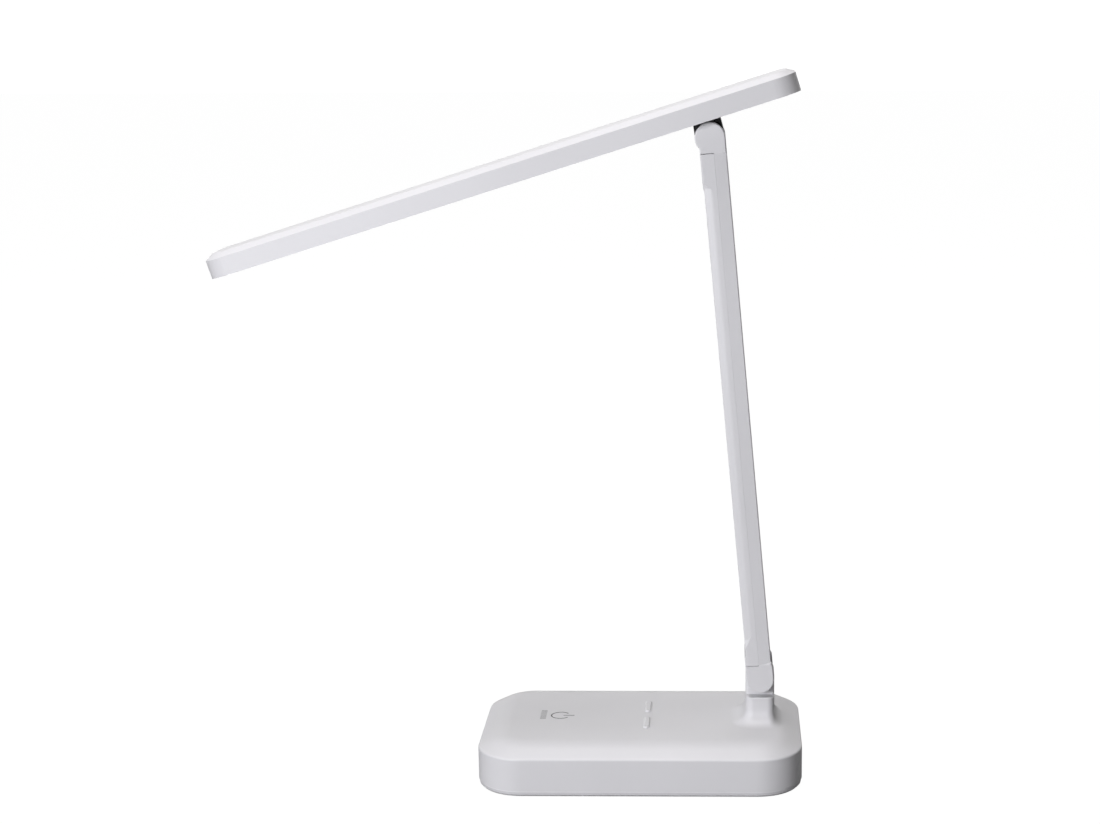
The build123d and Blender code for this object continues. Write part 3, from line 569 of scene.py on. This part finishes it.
set_of_screws(
    "base_cross_screws", BASE_OUTLINE, BASE_LENGTH, BASE_SCREWS, np.eye(3),
    "base_screws", "steel", "base",
)
lean = np.radians(HEAD_TILT)
along_head = np.array((np.cos(lean), 0.0, np.sin(lean)))
up_head = np.array((-np.sin(lean), 0.0, np.cos(lean)))
set_of_screws(
    "lug_cross_screws", LUG_OUTLINE, LUG_LENGTH,
    [np.array(HEAD_AXIS) + along * along_head + LIGHT_FACE * up_head for along in LUG_SCREWS],
    (along_head, np.array((0.0, 1.0, 0.0)), up_head),
    "lug_screws", "dark_steel", "head",
)


# --- Floor, light and camera -----------------------------------------------------------
def pale_floor():
    """Square sheet under the lamp that reaches past every view. The camera sees part of
    it as lit to plain white, as an overexposed studio sweep is."""
    reach = FLOOR_REACH
    mesh = bpy.data.meshes.new("pale_floor")
    corners = [(-reach, -reach, 0), (reach, -reach, 0), (reach, reach, 0), (-reach, reach, 0)]
    mesh.from_pydata(corners, [], [(0, 1, 2, 3)])
    floor_finish, tree, shader, place = new_finish("studio_paper")
    fibre = noise(tree, place, PAPER_FIBRES, 3.0)
    two_tone(tree, shader, fibre, PAPER_DARK, PAPER_LIGHT)
    shader.inputs["Roughness"].default_value = 0.9
    shader.inputs["Specular IOR Level"].default_value = 0.1
    glow = tree.nodes.new("ShaderNodeEmission")
    glow.inputs["Strength"].default_value = FLOOR_GLOW
    path = tree.nodes.new("ShaderNodeLightPath")
    burnt = combine(tree, "MULTIPLY", path.outputs["Is Camera Ray"], FLOOR_BURNT)
    mix = tree.nodes.new("ShaderNodeMixShader")
    tree.links.new(burnt, mix.inputs["Fac"])
    tree.links.new(shader.outputs["BSDF"], mix.inputs[1])
    tree.links.new(glow.outputs["Emission"], mix.inputs[2])
    tree.links.new(mix.outputs["Shader"], tree.nodes["Material Output"].inputs["Surface"])
    mesh.materials.append(floor_finish)
    floor = bpy.data.objects.new("pale_floor", mesh)
    scene.collection.objects.link(floor)


def soft_light(name, place, size, power, colour):
    """Rectangular studio light at place, turned to face the lamp's middle."""
    lamp = bpy.data.lights.new(name, "AREA")
    lamp.shape = "RECTANGLE"
    lamp.size, lamp.size_y = size
    lamp.energy = power
    lamp.color = colour
    holder = bpy.data.objects.new(name, lamp)
    scene.collection.objects.link(holder)
    holder.location = place
    aim = Vector(LIT_POINT) - Vector(place)
    holder.rotation_euler = aim.to_track_quat("-Z", "Y").to_euler()


def white_surround():
    """World that looks white to the camera. What the lamp feels of it is a bright sweep
    behind, which fades out towards the front, over an even faint glow."""
    world = bpy.data.worlds.new("studio_surround")
    scene.world = world
    world.use_nodes = True
    tree = world.node_tree
    tree.nodes.clear()
    end = tree.nodes.new("ShaderNodeOutputWorld")
    path = tree.nodes.new("ShaderNodeLightPath")
    mix = tree.nodes.new("ShaderNodeMixShader")
    direction = tree.nodes.new("ShaderNodeTexCoord").outputs["Generated"]
    split = tree.nodes.new("ShaderNodeSeparateXYZ")
    tree.links.new(direction, split.inputs["Vector"])
    shades = [tree.nodes.new("ShaderNodeBackground") for _ in range(2)]
    sweep = spread(tree, split.outputs["Y"], SWEEP_FAINT, SWEEP_BRIGHT, *SWEEP_EDGE)
    tree.links.new(sweep, shades[0].inputs["Strength"])
    shades[1].inputs["Strength"].default_value = SURROUND_SEEN
    for shade in shades:
        shade.inputs["Color"].default_value = (1.0, 1.0, 1.0, 1.0)
    tree.links.new(path.outputs["Is Camera Ray"], mix.inputs["Fac"])
    tree.links.new(shades[0].outputs["Background"], mix.inputs[1])
    tree.links.new(shades[1].outputs["Background"], mix.inputs[2])
    tree.links.new(mix.outputs["Shader"], end.inputs["Surface"])


def photo_camera():
    """Camera at the photograph's place, from its pitch, turn and roll."""
    ahead = Vector((
        np.sin(CAMERA_TURN) * np.cos(CAMERA_PITCH),
        np.cos(CAMERA_TURN) * np.cos(CAMERA_PITCH),
        -np.sin(CAMERA_PITCH),
    ))
    level = Vector((np.cos(CAMERA_TURN), -np.sin(CAMERA_TURN), 0.0))
    upright = level.cross(ahead)
    right = np.cos(CAMERA_ROLL) * level + np.sin(CAMERA_ROLL) * upright
    up = np.cos(CAMERA_ROLL) * upright - np.sin(CAMERA_ROLL) * level
    lens = bpy.data.cameras.new("camera")
    lens.sensor_width = CAMERA_SENSOR
    lens.lens = CAMERA_LENS
    lens.shift_x = CAMERA_SHIFT
    lens.clip_start, lens.clip_end = CAMERA_CLIP
    holder = bpy.data.objects.new("camera", lens)
    scene.collection.objects.link(holder)
    turned = Matrix((right, up, -ahead)).transposed().to_4x4()
    holder.matrix_world = Matrix.Translation(CAMERA_PLACE) @ turned
    scene.camera = holder


pale_floor()
white_surround()
soft_light("key", KEY_PLACE, KEY_SIZE, KEY_POWER, KEY_COLOUR)
soft_light("top", TOP_PLACE, TOP_SIZE, TOP_POWER, TOP_COLOUR)
photo_camera()
scene.view_settings.view_transform = "Standard"
